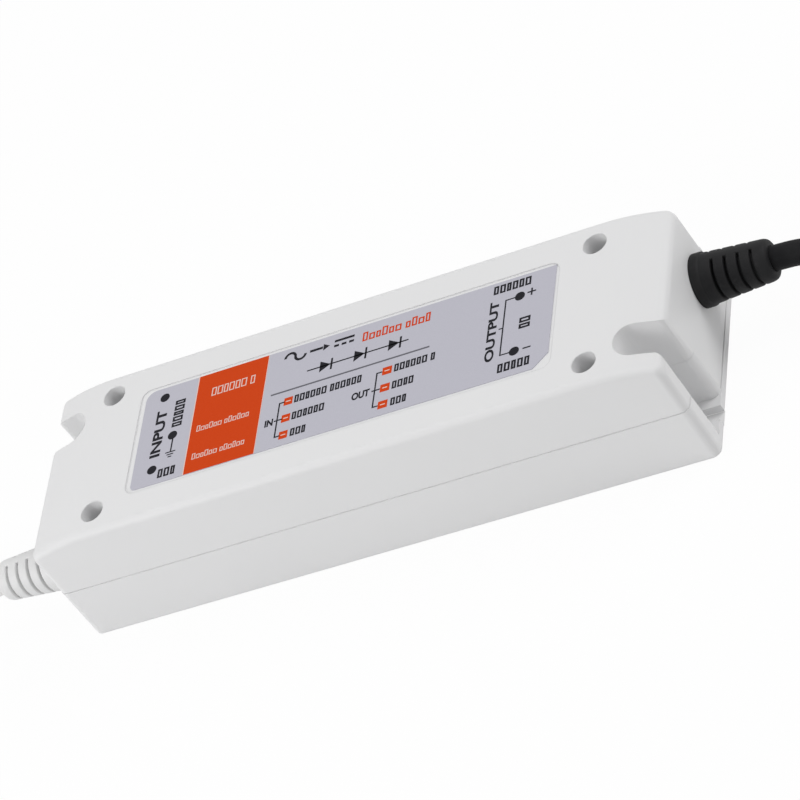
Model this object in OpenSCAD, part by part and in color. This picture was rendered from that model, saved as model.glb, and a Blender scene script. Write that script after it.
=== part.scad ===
// LED driver: a two-part moulded housing with a notched foot at each end, deep screw
// wells, a label in a shallow pocket, slotted strain reliefs, two leads and the board inside.
// The origin is the middle of the underside, +X runs to the output lead and +Z is up.

/* [Housing] */
// Length between the two end faces
body_length = 181; // [164:1:220]
// Width across the underside
body_width = 56; // [51:0.5:70]
// Height from the underside to the top face
body_height = 35; // [31.5:0.5:46]
// Height of the line where the cover meets the base
parting_height = 17; // [16:0.5:19]
// Thickness of the moulded walls
wall = 2; // [1.6:0.1:2.4]
// Thickness of the base's floor, which is also the foot plate
floor_thickness = 2.2; // [2:0.1:3]
// How far each long side leans in between the underside and the top
side_draft = 0.6; // [0:0.1:1]
// Radius of the long top edges
side_edge_radius = 2.2; // [1:0.1:3]
// Distance from each end face where the top begins to fall away
fall_length = 18.5; // [15:0.5:19]
// Radius of the top's long fall towards each end
fall_radius = 55; // [45:1:100]
// Radius of the top edge at each end
end_edge_radius = 3; // [1:0.5:4]
// Radius of the upright corner edges
corner_radius = 2.4; // [2.2:0.2:5]
// Open line between the cover's rim and the base's rim
seam_gap = 0.1; // [0.1:0.05:0.4]
// How far the cover's sides stand in from the base's rim
seam_step = 0.2; // [0.1:0.05:0.3]
// Clearance between pieces that slide together
fit_gap = 0.15; // [0.1:0.05:0.25]

/* [Feet] */
// Distance of the strain reliefs and of the output end's notch from the nearer long side
end_inset = 12.2; // [11:0.1:13]
// Distance of the input end's notch from the nearer long side
input_notch_inset = 14.5; // [12:0.1:16]
// Width of the notch above each foot plate
notch_width = 10.2; // [8:0.2:12]
// Depth of the output end's notch from the end face
output_notch_depth = 12.6; // [11:0.2:13]
// Depth of the input end's notch from the end face
input_notch_depth = 11.6; // [11:0.2:13]
// Radius of the notch's mouth
mouth_radius = 2.5; // [1:0.5:3]
// Width of the fixing slot in the foot plate
slot_width = 4.4; // [3.5:0.1:6]

/* [Cover screws] */
// Distance of the screw wells from the end faces
screw_inset_x = 19.9; // [19:0.1:21]
// Distance of the screw wells from the long sides
screw_inset_y = 8.3; // [8:0.1:9]
// Diameter of each screw well
well_diameter = 6.4; // [6:0.1:7]
// Wall around each screw well
well_wall = 1.4; // [1:0.1:1.6]
// Chamfer on the rim of each well
well_chamfer = 0.2; // [0.2:0.1:0.8]
// Thickness of the seat under the screw head
seat_thickness = 2.5; // [1.5:0.1:4]
// Diameter of the bosses that take the screws
boss_diameter = 8; // [6:0.2:8.4]
// Core diameter of the screws
screw_diameter = 2.5; // [2.2:0.1:2.8]
// Diameter of the screw heads
screw_head_diameter = 5.4; // [5:0.1:5.8]
// Height of the screw heads
screw_head_height = 2.2; // [1.6:0.1:3]
// Length of the screws under the head
screw_length = 14; // [10:0.5:15]

/* [Label] */
// Length of the label
label_length = 120; // [100:1:121]
// Width of the label
label_width = 33.2; // [28:0.2:34]
// Thickness of the label
label_thickness = 0.2; // [0.1:0.05:0.25]
// Shift of the label towards the output end
label_shift = 0.3; // [0:0.1:1]
// Cut-off corner of the label
label_chamfer = 4; // [2:0.5:6]
// Radius of the label's back corner at the input end
label_radius = 3; // [1:0.5:5]
// Margin of the pocket around the label
pocket_margin = 1; // [0.8:0.1:2]
// Depth of the label's pocket
pocket_depth = 0.3; // [0.25:0.05:0.6]

/* [Strain reliefs] */
// Height of the strain reliefs and leads above the underside
boot_height = 16.2; // [15.6:0.1:17]
// Length of a strain relief outside the end face
boot_length = 20; // [17:0.5:24]
// Diameter of the collar against the end face
boot_collar_diameter = 14; // [13:0.2:15]
// Thickness of the collar
boot_collar_thickness = 2.6; // [1:0.1:3]
// Diameter of the body next to the collar
boot_base_diameter = 13.2; // [12:0.2:14]
// Diameter of the body at its tip
boot_tip_diameter = 10.8; // [10:0.2:12]
// Diameter of the neck in the end wall
boot_neck_diameter = 10; // [9:0.2:11]
// Diameter of the flange inside the end wall
boot_flange_diameter = 13; // [12:0.2:14]
// Thickness of the flange inside the end wall
boot_flange_thickness = 2; // [1.5:0.1:3]
// Number of slots on each side
boot_slots = 4; // [2:1:4]
// Distance from one slot to the next
boot_slot_pitch = 3.4; // [3:0.1:3.8]
// Width of a slot
boot_slot_width = 0.8; // [0.5:0.1:1.2]
// Rubber left between a slot and the cord
boot_core_wall = 1.2; // [0.8:0.1:1.6]
// Plain length between the collar and the first slot
boot_plain_length = 1.3; // [1:0.1:1.6]
// Chamfer round the tip
boot_tip_chamfer = 1; // [0.4:0.1:1.4]
// Angle that each slot runs round
boot_slot_angle = 152; // [120:2:160]
// Angle that each strain relief is turned about its lead, with its later slots to the front
boot_turn = 78; // [60:2:120]

/* [Leads] */
// Diameter of the leads' round sheath
cord_diameter = 6.5; // [6:0.1:7]
// Diameter of the insulated cores
core_diameter = 2.2; // [1.8:0.1:2.4]

/* [Circuit board] */
// Thickness of the board
board_thickness = 1.6; // [1:0.1:2]
// Gap between the board's ends and the screw bosses
board_gap = 0.5; // [0.3:0.1:1]
// Height of the posts that carry the board
post_height = 3.5; // [3:0.1:4.5]
// Diameter of the posts
post_diameter = 5; // [4.5:0.1:6]
// Diameter of the locating pin on each post
post_pin_diameter = 2.6; // [2:0.1:3]
// Diameter of the components' leads
lead_diameter = 0.9; // [0.6:0.1:1]
// Thickness of the locating lips on the base
lip_thickness = 1.2; // [1:0.1:1.4]
// Height of the locating lips above the base's rim
lip_height = 1.6; // [1:0.1:2]
// Length of the locating lips
lip_length = 120; // [80:2:124]

/* [Components] */
// Diameter of the storage capacitors
bulk_diameter = 16; // [14:0.5:16]
// Gap between the storage capacitors and the cover's roof
roof_clearance = 1.7; // [1:0.1:4]
// Diameter of the output capacitors
smoothing_diameter = 10; // [8:0.5:10]
// Height of the output capacitors
smoothing_height = 20; // [14:0.5:23]
// Side of the transformer's core seen from above
transformer_side = 30; // [28:0.5:30]
// Thickness of the transformer's core
transformer_thickness = 11; // [9:0.5:12]
// Thickness of the heatsink plates
heatsink_thickness = 2; // [1.5:0.1:2]
// Height of the heatsink plates
heatsink_height = 21; // [20:0.5:24]

/* [Hidden] */
$fn = 48;

// Round edges of the lofted body
hull_sides = 32;
arc_step = 15;
fall_steps = 6;
smallest_radius = 0.6;
sheet = 0.01;
beyond = 1;

// Heights
board_bottom = floor_thickness + post_height;
board_top = board_bottom + board_thickness;
seat_height = parting_height + seat_thickness;

// Places along and across the body
end_x = body_length / 2;
notch_radius = notch_width / 2;
fall_start = end_x - fall_length;
screw_x = end_x - screw_inset_x;
screw_y = body_width / 2 - screw_inset_y;
end_offset = body_width / 2 - end_inset;
notch_depths = [output_notch_depth, input_notch_depth];
notch_insets = [end_inset, input_notch_inset];
cover_end_x = end_x - seam_step;
tongue_end = body_width / 2 - corner_radius - fit_gap;
pilot_diameter = screw_diameter + fit_gap;
screw_clearance = 0.9;
screw_hole_diameter = screw_diameter + screw_clearance;
screw_cross = [3, 0.7, 1.2];
neck_hole_diameter = boot_neck_diameter + 2 * fit_gap;

// Locating lips and the board between them
lip_outer_y = half_width(parting_height + lip_height, wall) - fit_gap;
lip_inner_y = lip_outer_y - lip_thickness;
lip_root = 4;
board_length = 2 * (screw_x - boss_diameter / 2 - board_gap);
board_width = 2 * (lip_inner_y - board_gap);
board_end = board_length / 2;
board_side = board_width / 2;
post_inset_x = 5;
post_inset_y = 3.8;
pin_rise = 1;
lead_tail = 1.4;
lead_hole = lead_diameter + 2 * fit_gap;

// Sheath ends inside the housing, just past the strain relief's flange, and each wire
// leaves it, and meets its pad, on a short straight stub
lead_stub = 0.8;
lead_reach = [-9, -2.8, 0];
lead_rise = 9;
core_spread = 0.6 * core_diameter;
bundle_radius = 0.64 * core_diameter;
sheath_tail = 2.5;
sheath_end_x = end_x - wall - fit_gap - boot_flange_thickness - sheath_tail;

// Component sizes that no other piece shares
fuse_length = 15;
fuse_diameter = 5.2;
fuse_cap = 4;
fuse_step = 0.6;
fuse_lift = 0.4;
fuse_lead_reach = 1.6;
fuse_wire = 0.7;
disc_lift = 1.5;
thermistor_diameter = 10;
thermistor_thickness = 4.5;
safety_diameter = 9;
safety_thickness = 4;
disc_pitch = 5;
filter_size = [18, 8.5, 15];
filter_pitch = 15;
choke_size = [18, 9, 8];
inductor_size = [16, 8, 7];
winding_thickness = 1.2;
winding_angle = 150;
bridge_size = [3.6, 22, 15];
bridge_lift = 2.5;
bridge_pitch = 5;
bridge_corner = 3;
bulk_pitch = 7.5;
smoothing_pitch = 5;
can_edge = 1;
can_foot = 2;
can_groove = 0.6;
bulk_height = body_height - wall - board_top - roof_clearance;
heatsink_length = 19;
feet_inset = 3;
package_size = [10, 4.5, 9];
tab_size = [10, 1.3, 15.5];
tab_hole_drop = 2.8;
package_lift = 4;
package_pitch = 2.54;
pad_thickness = 0.3;
tab_screw_diameter = 2.6;
tab_clearance = 0.8;
tab_screw_head = [5, 1.8];
transformer_leg = 10;
transformer_yoke = 6.5;
transformer_side_leg = 3;
transformer_air_gap = 0.2;
bobbin_wall = 1.1;
bobbin_gap = 0.1;
coil_build = 2.8;
coil_recess = 0.2;
coil_corner = 3;
rail_lift = 0.8;
rail_pins = 5;
rail_pitch = 5;
chip_size = [9.5, 6.4, 3.3];
optocoupler_size = [4.6, 6.4, 3.5];
dual_row = 7.62;
dual_pitch = 2.54;
dual_lift = 0.6;
shoulder_width = 1;
shoulder_thickness = 0.4;

// Columns of components along the board, from the input end, share its free length equally
columns = [
    choke_size[0] + 2 * winding_thickness, thermistor_thickness, bulk_diameter,
    transformer_side, inductor_size[0] + 2 * winding_thickness, smoothing_diameter
];
part_gap = 1;
can_gap = 0.5;
edge_margin = 1.4;
first_margin = post_inset_x + post_pin_diameter / 2 + part_gap;
last_margin = 2;
column_gap =
    (board_length - first_margin - last_margin - total(columns, len(columns)))
    / (len(columns) - 1);
function total(list, count) = count == 0 ? 0 : list[count - 1] + total(list, count - 1);
function column_x(i) =
    first_margin - board_end + total(columns, i) + i * column_gap + columns[i] / 2;

// Places of the components in their columns, counted from the board's long sides
heatsink_inset = 2.5;
power_zone = heatsink_inset + heatsink_thickness / 2 + pad_thickness + package_size[1];
bridge_inset = 7;
small_pitch = 9.8;
small_y = board_side - edge_margin - (dual_row + lead_diameter) / 2;
can_y =
    post_inset_y + post_pin_diameter / 2 + part_gap + smoothing_diameter / 2 - board_side;
bulk_spread = (bulk_diameter + can_gap) / 2;
fuse_at = [column_x(0), edge_margin + fuse_diameter / 2 - board_side];
filter_at = fuse_at + [0, (fuse_diameter + filter_size[1]) / 2 + part_gap];
choke_at = [column_x(0), board_side - edge_margin - columns[0] / 2];
thermistor_at = [column_x(1), edge_margin + thermistor_diameter / 2 - board_side];
bridge_at = [column_x(1), board_side - bridge_inset - bridge_size[1] / 2];
bulk_at = [for (s = [-1, 1]) [column_x(2), s * bulk_spread - power_zone / 2]];
primary_heatsink_at =
    [column_x(2) + (bulk_diameter - heatsink_length) / 2, board_side - heatsink_inset];
transformer_at = [column_x(3), edge_margin + transformer_side / 2 - board_side];
controller_at = [column_x(3) - small_pitch, small_y];
optocoupler_at = [column_x(3), small_y];
safety_at = [column_x(3) + small_pitch, small_y];
secondary_heatsink_at = [column_x(4), heatsink_inset - board_side];
inductor_at = [column_x(4), board_side - edge_margin - columns[4] / 2];
smoothing_at = [
    [column_x(5), can_y],
    [column_x(5), can_y + smoothing_diameter + can_gap],
    [column_x(4), power_zone + part_gap + smoothing_diameter / 2 - board_side]
];

// Pads for the wires, next to the strain reliefs
pad_inset = 3;
pad_shift = 3.6;
pad_pitch = 4;
function wire_pad(i) = [board_end - pad_inset, end_offset - pad_shift - i * pad_pitch];

// Where the sheath leaves its strain relief and how it lies on the table, chosen by hand
lead_route = [
    [84, 15.8, 16.2], [97, 15.8, 16.2], [111, 15.8, 16.2], [118.5, 15.8, 15.4],
    [127.5, 14.5, 13.2], [136, 11, 10.2], [143.5, 5.5, 7.1], [149, -2, 4.5],
    [155, -9.5, 3.4], [162.5, -15.5, 3.3], [171, -19, 3.3], [180.5, -20, 3.3],
    [189.5, -19, 3.3], [198.5, -15.5, 3.3], [206, -9.5, 3.3], [211.5, -2, 3.3]
];
left_core_route = [
    [210.6, -1, 2.6], [212.5, 2.5, 2.3], [214.5, 6.5, 1.8], [216, 11, 1.3],
    [217, 15.5, 1.1], [217.5, 20, 1.1], [217.5, 24.5, 1.1]
];
right_core_route = [
    [212.8, -2.6, 2.6], [215, 1, 2.3], [217.5, 4.5, 1.8], [220.5, 8, 1.3],
    [224, 11, 1.1], [227.5, 13.5, 1.1], [231.5, 15.5, 1.1]
];
middle_core_route = [
    [211.6, -1.8, 4.6], [213.8, 2, 4.2], [216.2, 6, 3], [218.6, 10, 1.8],
    [221, 14, 1.2], [223.5, 18, 1.1], [226, 22, 1.1]
];

// Side view of the body inside its wall by the inset: flat top, long fall, round end edge
function inset_radius(radius, inset) = max(radius - inset, smallest_radius);
function edge_radius(inset) = inset_radius(end_edge_radius, inset);
function fall_angle(inset) =
    asin((fall_length - inset - edge_radius(inset)) / (fall_radius - inset - edge_radius(inset)));
function edge_height(inset) =
    body_height - fall_radius
    + (fall_radius - inset - edge_radius(inset)) * cos(fall_angle(inset));
function arc_rise(radius, reach) = sqrt(max(0, radius * radius - reach * reach));
function top_height(x, inset) =
    x <= fall_start ? body_height - inset
    : x - fall_start <= (fall_radius - inset) * sin(fall_angle(inset))
        ? body_height - fall_radius + arc_rise(fall_radius - inset, x - fall_start)
        : edge_height(inset)
            + arc_rise(edge_radius(inset), x - end_x + inset + edge_radius(inset));

// Plan of the body inside its wall: drafted long sides and round upright corners
function half_width(z, inset = 0) = body_width / 2 - inset - side_draft * z / body_height;
function corner_drop(x, inset) =
    let (corner = inset_radius(corner_radius, inset))
    corner - arc_rise(corner, max(0, x - end_x + inset + corner));

// Cross-sections along the body that carry its fall, its end edge and its upright corners
function stations(inset) = concat(
    [
        for (i = [0:fall_steps])
            fall_start + (fall_radius - inset) * sin(fall_angle(inset) * i / fall_steps)
    ],
    [
        for (i = [1:90 / arc_step])
            let (a = fall_angle(inset) + (90 - fall_angle(inset)) * i * arc_step / 90)
            end_x - inset - edge_radius(inset) * (1 - sin(a))
    ],
    [
        for (a = [0:arc_step:90])
            end_x - inset - inset_radius(corner_radius, inset) * (1 - sin(a))
    ]
);

// Swept tubes
function unit(v) = v / norm(v);
function heading(path, i) = unit(path[min(i + 1, len(path) - 1)] - path[max(i - 1, 0)]);
function turned(path) = [for (p = path) [-p[0], -p[1], p[2]]];
function curve(a, b, c, d, steps) = [
    for (i = [0:steps])
        let (t = i / steps, s = 1 - t)
        s * s * s * a + 3 * s * s * t * b + 3 * s * t * t * c + t * t * t * d
];
function lead_curve(start, pad) = concat(
    [start],
    curve(
        start + [-lead_stub, 0, 0], start + lead_reach,
        [pad[0], pad[1], board_top + lead_rise], [pad[0], pad[1], board_top + lead_stub], 10
    ),
    [[pad[0], pad[1], board_top]]
);

// Places of the components' leads in the board
function pair(at, pitch, axis) = [for (s = [-0.5, 0.5]) at + s * pitch * axis];
function ring_pins(at, size) = [
    for (sx = [-1, 1], sy = [-1, 1])
        at + [sx * (size[0] + winding_thickness) / 4, sy * (size[0] + winding_thickness) / 3]
];
function row(at, count, pitch, axis) =
    [for (i = [0:count - 1]) at + (i - (count - 1) / 2) * pitch * axis];
function dual(at, count) = concat(
    row(at - [0, dual_row / 2], count, dual_pitch, [1, 0]),
    row(at + [0, dual_row / 2], count, dual_pitch, [1, 0])
);
function rails(at) = [
    for (s = [-1, 1], p = row(at + [s * rail_x(), 0], rail_pins, rail_pitch, [0, 1])) p
];
function rail_x() = (transformer_side - transformer_yoke) / 2;
function package_y(side) = side * (heatsink_thickness / 2 + pad_thickness + package_size[1] / 2);
function package_leads(at, side) =
    row(at + [0, package_y(side)], 3, package_pitch, [1, 0]);

fuse_pins = pair(fuse_at, fuse_length + 2 * fuse_lead_reach, [1, 0]);
filter_pins = pair(filter_at, filter_pitch, [1, 0]);
thermistor_pins = pair(thermistor_at, disc_pitch, [0, 1]);
safety_pins = pair(safety_at, disc_pitch, [1, 0]);
bridge_pins = row(bridge_at, 4, bridge_pitch, [0, 1]);
bulk_pins = [for (at = bulk_at, p = pair(at, bulk_pitch, [0, 1])) p];
smoothing_pins = [for (at = smoothing_at, p = pair(at, smoothing_pitch, [0, 1])) p];
transistor_pins = package_leads(primary_heatsink_at, -1);
rectifier_pins = package_leads(secondary_heatsink_at, 1);
primary_feet = pair(primary_heatsink_at, heatsink_length - 2 * feet_inset, [1, 0]);
secondary_feet = pair(secondary_heatsink_at, heatsink_length - 2 * feet_inset, [1, 0]);
board_pins = concat(
    fuse_pins, filter_pins, thermistor_pins, safety_pins, bridge_pins, bulk_pins, smoothing_pins,
    transistor_pins, rectifier_pins, primary_feet, secondary_feet, rails(transformer_at),
    dual(controller_at, 4), dual(optocoupler_at, 2),
    ring_pins(choke_at, choke_size), ring_pins(inductor_at, inductor_size)
);

// Body lofted through its cross-sections, so its top edges, corners, fall and draft blend
module body_form(inset, bottom) {
    edge = inset_radius(side_edge_radius, inset);
    hull()
        for (x = stations(inset), sx = [-1, 1], sy = [-1, 1]) {
            level = top_height(x, inset) - edge;
            drop = corner_drop(x, inset);
            translate([sx > 0 ? x - sheet : -x, 0, 0]) {
                translate([0, sy * (half_width(level, inset) - drop - edge), level])
                    rotate([0, 90, 0]) cylinder(r = edge, h = sheet, $fn = hull_sides);
                translate([0, sy * (half_width(bottom, inset) - drop - sheet / 2) - sheet / 2, bottom])
                    cube(sheet);
            }
        }
}

// Draws the output end, then the input end turned half round, each with its own notch depth
// and with the notch's middle line at its own distance from the long side
module both_ends() {
    for (i = [0, 1]) {
        $notch_depth = notch_depths[i];
        $notch_y = notch_insets[i] - body_width / 2;
        rotate(180 * i) children();
    }
}

module at_screws() {
    for (sx = [-1, 1], sy = [-1, 1])
        translate([sx * screw_x, sy * screw_y, 0]) children();
}

module at_posts() {
    for (sx = [-1, 1], sy = [-1, 1])
        translate([sx * (board_end - post_inset_x), sy * (board_side - post_inset_y), 0])
            children();
}

// Half of the space above or below the parting line
module slab(from, to) {
    translate([-body_length, -body_width, from])
        cube([2 * body_length, 2 * body_width, to - from]);
}

function notch_centre_x() = end_x - $notch_depth + notch_radius;

// A U open to the end face, grown sideways by a margin
module notch_outline(margin) {
    radius = notch_radius + margin;
    translate([notch_centre_x(), $notch_y]) {
        circle(radius);
        translate([0, -radius]) square([$notch_depth + beyond, 2 * radius]);
    }
}

// The rounded edges of the notch's mouth
module mouth_edges() {
    for (side = [-1, 1])
        translate([end_x - mouth_radius, side * notch_radius + $notch_y])
            mirror([0, side < 0 ? 1 : 0])
                difference() {
                    square([mouth_radius + beyond, mouth_radius]);
                    translate([0, mouth_radius]) circle(mouth_radius);
                }
}

module notch_space(from) {
    translate([0, 0, from])
        linear_extrude(body_height + beyond - from) {
            notch_outline(0);
            mouth_edges();
        }
}

module notch_wall(from, to) {
    translate([0, 0, from])
        linear_extrude(to - from) notch_outline(wall);
}

// The cover's end panel, which reaches down to the foot plate beside the notch
module tongue(gap) {
    start = $notch_y + notch_radius + mouth_radius;
    translate([
        end_x - wall - gap, start - gap, floor_thickness + (gap > 0 ? 0 : fit_gap)
    ])
        cube([
            wall + gap + beyond, tongue_end - start + 2 * gap,
            parting_height + wall - floor_thickness
        ]);
}

// Level rectangle with round corners
module round_rectangle(size, radius) {
    difference() {
        square(size, center = true);
        for (sx = [0, 1], sy = [0, 1])
            mirror([sx, 0]) mirror([0, sy]) corner_cut(size, radius);
    }
}

// What a round corner takes off a centred rectangle at its far positive corner
module corner_cut(size, radius) {
    translate([size[0] / 2 - radius, size[1] / 2 - radius])
        difference() {
            square(radius + beyond);
            circle(radius);
        }
}

module top_cover() {
    color("gainsboro")
        difference() {
            intersection() {
                translate([0, 0, seam_step]) body_form(seam_step, -seam_step);
                union() {
                    difference() {
                        slab(parting_height + seam_gap, body_height + beyond);
                        body_form(wall, floor_thickness);
                    }
                    both_ends() {
                        notch_wall(parting_height + seam_gap, body_height + beyond);
                        tongue(0);
                    }
                    at_screws()
                        translate([0, 0, parting_height])
                            cylinder(d = well_diameter + 2 * well_wall, h = body_height);
                }
            }
            both_ends() {
                notch_space(0);
                translate([end_x - wall - beyond, end_offset, boot_height])
                    rotate([0, 90, 0])
                        cylinder(d = neck_hole_diameter, h = wall + 2 * beyond);
            }
            at_screws() well_space();
            label_pocket();
        }
}

module well_space() {
    translate([0, 0, parting_height - beyond])
        cylinder(d = screw_hole_diameter, h = body_height);
    translate([0, 0, seat_height]) cylinder(d = well_diameter, h = body_height);
    translate([0, 0, body_height - well_chamfer])
        cylinder(d1 = well_diameter, d2 = well_diameter + 4 * well_chamfer, h = 2 * well_chamfer);
}

module label_pocket() {
    translate([0, 0, body_height - pocket_depth])
        linear_extrude(pocket_depth + beyond)
            round_rectangle(
                [label_length + 2 * (pocket_margin + label_shift), label_width + 2 * pocket_margin],
                label_radius
            );
}

module base_tray() {
    color("whitesmoke")
        difference() {
            intersection() {
                body_form(0, 0);
                union() {
                    difference() {
                        slab(0, parting_height);
                        body_form(wall, floor_thickness);
                    }
                    both_ends() notch_wall(0, parting_height);
                    at_screws() cylinder(d = boss_diameter, h = parting_height);
                    at_posts() {
                        cylinder(d = post_diameter, h = board_bottom);
                        cylinder(d = post_pin_diameter, h = board_top + pin_rise);
                    }
                    both_ends() lip();
                }
            }
            both_ends() {
                notch_space(floor_thickness);
                tongue(fit_gap);
                fixing_slot();
            }
            at_screws()
                translate([0, 0, seat_height - screw_length - beyond])
                    cylinder(d = pilot_diameter, h = body_height);
        }
}

module fixing_slot() {
    translate([notch_centre_x(), $notch_y, -beyond]) {
        cylinder(d = slot_width, h = floor_thickness + 2 * beyond);
        translate([0, -slot_width / 2, 0])
            cube([$notch_depth + beyond, slot_width, floor_thickness + 2 * beyond]);
    }
}

// Lip on one long side that the cover drops over, with its root on the base's wall
module lip() {
    translate([-lip_length / 2, lip_inner_y, parting_height - lip_root]) {
        cube([lip_length, lip_thickness, lip_root + lip_height]);
        cube([lip_length, lip_thickness + wall, lip_root]);
    }
}

module rating_label() {
    size = [label_length, label_width];
    color("lavender")
        translate([label_shift, 0, body_height - pocket_depth])
            linear_extrude(label_thickness)
                difference() {
                    square(size, center = true);
                    mirror([1, 0]) corner_cut(size, label_radius);
                    mirror([1, 0]) mirror([0, 1]) corner_cut(size, label_radius / 2);
                    translate([label_length / 2, -label_width / 2])
                        rotate(45)
                            square(label_chamfer * sqrt(2), center = true);
                }
}

module cover_screws() {
    color("silver")
        at_screws()
            translate([0, 0, seat_height]) {
                difference() {
                    intersection() {
                        cylinder(d = screw_head_diameter, h = screw_head_height);
                        translate([0, 0, screw_head_height - screw_head_diameter])
                            sphere(r = screw_head_diameter);
                    }
                    for (a = [0, 90])
                        rotate(a)
                            translate([0, 0, screw_head_height])
                                cube(screw_cross + [0, 0, screw_cross[2]], center = true);
                }
                translate([0, 0, -screw_length]) cylinder(d = screw_diameter, h = screw_length);
            }
}

// Strain relief along +Z from the end face, its two rows of slots half a pitch apart
module boot() {
    first_slot = boot_collar_thickness + boot_plain_length;
    bore = cord_diameter / 2;
    grip = wall - seam_step + fit_gap;
    difference() {
        rotate_extrude() {
            polygon([
                [bore, -grip - boot_flange_thickness],
                [boot_flange_diameter / 2, -grip - boot_flange_thickness],
                [boot_flange_diameter / 2, -grip],
                [boot_neck_diameter / 2, -grip],
                [boot_neck_diameter / 2, 0],
                [boot_collar_diameter / 2, 0],
                [boot_collar_diameter / 2, boot_collar_thickness],
                [boot_base_diameter / 2, boot_collar_thickness],
                [boot_tip_diameter / 2, boot_length - boot_tip_chamfer],
                [boot_tip_diameter / 2 - boot_tip_chamfer, boot_length],
                [bore, boot_length]
            ]);
        }
        for (side = [0, 1], i = [0:boot_slots - 1])
            translate([0, 0, first_slot + (i + side / 2) * boot_slot_pitch])
                rotate(180 * side - boot_slot_angle / 2)
                    rotate_extrude(angle = boot_slot_angle)
                        translate([bore + boot_core_wall, 0])
                            square([boot_collar_diameter, boot_slot_width]);
    }
}

module boot_in_place(turn) {
    translate([cover_end_x, end_offset, boot_height]) rotate([0, 90, 0]) rotate(turn) boot();
}

module output_boot() {
    color("dimgray") boot_in_place(boot_turn);
}

module input_boot() {
    color("white") rotate(180) boot_in_place(-boot_turn);
}

// Round tube with a ring of corners at each point of its path
module tube(path, diameter, sides, reference) {
    count = len(path);
    points = [
        for (i = [0:count - 1])
            let (t = heading(path, i), u = unit(cross(t, reference)), v = cross(t, u))
            for (k = [0:sides - 1])
                path[i] + diameter / 2 * (cos(360 * k / sides) * u + sin(360 * k / sides) * v)
    ];
    skin = [
        for (i = [0:count - 2], k = [0:sides - 1])
            let (a = i * sides + k, b = i * sides + (k + 1) % sides)
            each [[a, a + sides, b], [b, a + sides, b + sides]]
    ];
    near_end = [for (k = [0:sides - 1]) k];
    far_end = [for (k = [sides - 1:-1:0]) (count - 1) * sides + k];
    polyhedron(points, concat([near_end, far_end], skin));
}

module cord(path) {
    tube(path, cord_diameter, 12, [0, 0, 1]);
}

module core(path) {
    tube(path, core_diameter, 8, [0, 0, 1]);
}

module output_cord() {
    color("black") cord(lead_route);
}

module input_cord() {
    color("white") cord(turned(lead_route));
}

module output_core_brown() {
    color("saddlebrown") core(left_core_route);
}

module output_core_blue() {
    color("royalblue") core(right_core_route);
}

module input_core_brown() {
    color("saddlebrown") core(turned(left_core_route));
}

module input_core_blue() {
    color("royalblue") core(turned(right_core_route));
}

module input_core_earth() {
    color("yellowgreen") core(turned(middle_core_route));
}

// Insulated wire from the sheath's end down to its pad on the board
module inner_lead(offset, pad) {
    start = [sheath_end_x, end_offset, boot_height] + offset;
    tube(lead_curve(start, pad), core_diameter, 8, [0, 1, 0]);
}

module output_leads() {
    color("saddlebrown") {
        inner_lead([0, -core_spread, 0], wire_pad(1));
        inner_lead([0, core_spread, 0], wire_pad(0));
    }
}

module input_leads() {
    color("royalblue")
        rotate(180)
            for (i = [0:2])
                let (a = 120 * i - 30)
                inner_lead([0, bundle_radius * cos(a), bundle_radius * sin(a)], wire_pad(i));
}

// Leads that pass through the board and up to a height above it
module leads(places, rise) {
    for (p = places)
        translate([p[0], p[1], board_bottom - lead_tail])
            cylinder(d = lead_diameter, h = lead_tail + board_thickness + rise);
}

// Places a component on the board's top face
module on_board(at) {
    translate([at[0], at[1], board_top]) children();
}

module circuit_board() {
    color("darkgreen")
        difference() {
            translate([-board_end, -board_side, board_bottom])
                cube([board_length, board_width, board_thickness]);
            at_posts()
                cylinder(d = post_pin_diameter + 2 * fit_gap, h = body_height);
            for (p = board_pins)
                translate([p[0], p[1], 0]) cylinder(d = lead_hole, h = body_height);
        }
}

module fuse() {
    axis_height = fuse_diameter / 2 + fuse_lift;
    color("lightcyan") {
        on_board(fuse_at)
            translate([0, 0, axis_height])
                rotate([0, 90, 0]) {
                    cylinder(d = fuse_diameter - fuse_step, h = fuse_length, center = true);
                    for (s = [-1, 1])
                        translate([0, 0, s * (fuse_length - fuse_cap) / 2])
                            cylinder(d = fuse_diameter, h = fuse_cap, center = true);
                    cylinder(
                        d = fuse_wire * lead_diameter, h = fuse_length + 2 * fuse_lead_reach,
                        center = true
                    );
                }
        leads(fuse_pins, axis_height + lead_diameter);
    }
}

// Flat round component on edge, its face square to the given turn
module disc(at, diameter, thickness, turn) {
    on_board(at)
        translate([0, 0, disc_lift + diameter / 2])
            rotate(turn) rotate([90, 0, 0])
                cylinder(d = diameter, h = thickness, center = true);
}

module inrush_thermistor() {
    color("darkslategray") {
        disc(thermistor_at, thermistor_diameter, thermistor_thickness, 90);
        leads(thermistor_pins, disc_lift + thermistor_diameter / 2);
    }
}

module safety_capacitor() {
    color("steelblue") {
        disc(safety_at, safety_diameter, safety_thickness, 0);
        leads(safety_pins, disc_lift + safety_diameter / 2);
    }
}

module filter_capacitor() {
    color("gold") {
        on_board(filter_at)
            translate([-filter_size[0] / 2, -filter_size[1] / 2, 0]) cube(filter_size);
        leads(filter_pins, beyond);
    }
}

// Section of a ring core: outer and inner diameter and height
module ring_section(size, margin) {
    translate([size[1] / 2 - margin, winding_thickness - margin])
        square([(size[0] - size[1]) / 2 + 2 * margin, size[2] + 2 * margin]);
}

module ring_core(at, size) {
    on_board(at) rotate_extrude() ring_section(size, 0);
}

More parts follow.
